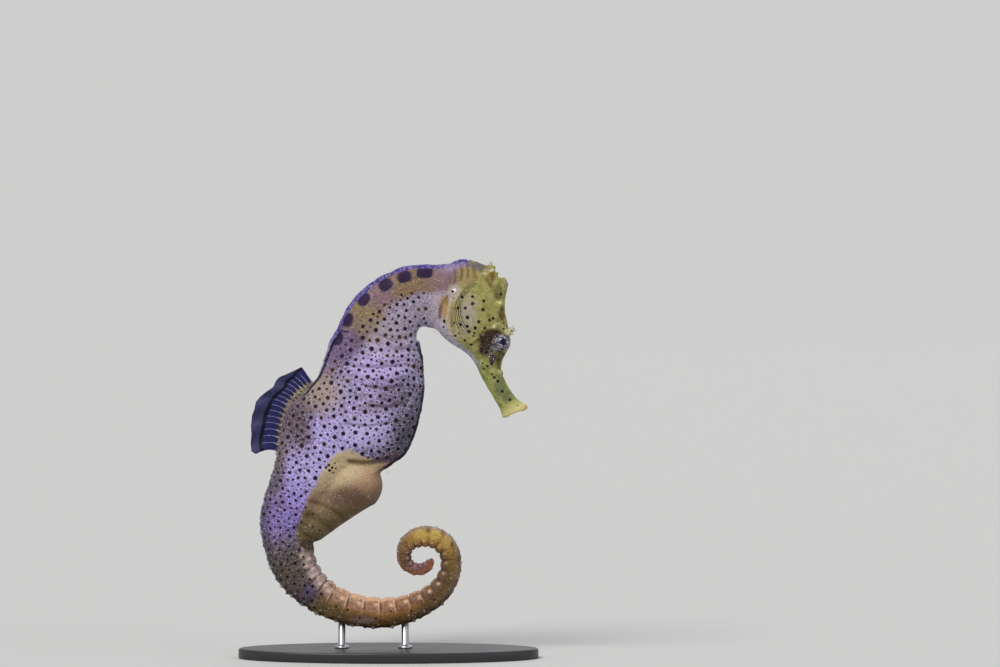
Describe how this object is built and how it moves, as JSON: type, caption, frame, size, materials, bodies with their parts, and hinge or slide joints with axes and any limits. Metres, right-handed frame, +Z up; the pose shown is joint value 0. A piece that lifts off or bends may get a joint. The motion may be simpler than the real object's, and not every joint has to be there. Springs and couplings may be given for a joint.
{
  "type": "pot-bellied seahorse on a display stand",
  "caption": "Life-size pot-bellied seahorse with a deep belly, tubular snout and curled tail, held upright by short rods on an oval base.",
  "frame": {"origin": "centre of the stand base's underside", "axes": "+Z up, from the base to the top of the neck and coronet; +X towards the snout, along the base's long side; +Y from the animal's right side to its left"},
  "size_m": [0.09, 0.04, 0.1194],
  "materials": {
    "skin_yellow": "moist yellow-green skin over bone, with small black dots and a brown patch behind the eye",
    "skin_lilac": "moist lilac-white skin with brown-black spots and fine white speckles",
    "skin_cream": "smooth cream to peach skin",
    "skin_olive": "moist grey-olive skin over bony rings, with small dark spots",
    "skin_orange": "moist orange-brown skin over bony rings with pale edges",
    "fin": "thin translucent blue-grey membrane on fine rays",
    "eye": "glossy silver-white mottled eye with a blue-black pupil",
    "stand_base": "satin black powder coat",
    "stand_rod": "fine brushed stainless steel"
  },
  "bodies": {
    "root": {"head": "skin_yellow", "snout": "skin_yellow", "coronet": "skin_yellow", "gill_cover_right": "skin_yellow", "gill_cover_left": "skin_yellow", "eye_right": "eye", "eye_left": "eye", "neck": "skin_lilac", "trunk_upper": "skin_lilac", "trunk_lower": "skin_lilac", "pouch": "skin_cream", "tail_base": "skin_lilac", "tail_upper": "skin_lilac", "tail_bend": "skin_olive", "tail_middle": "skin_orange", "tail_lower": "skin_orange", "tail_coil_outer": "skin_orange", "tail_coil_top": "skin_orange", "tail_coil_inner": "skin_orange", "tail_tip": "skin_orange", "dorsal_fin": "fin", "pectoral_fin_right": "fin", "pectoral_fin_left": "fin", "anal_fin": "fin", "stand_base": "stand_base", "stand_rod_rear": "stand_rod", "stand_rod_front": "stand_rod"}
  },
  "joints": []
}
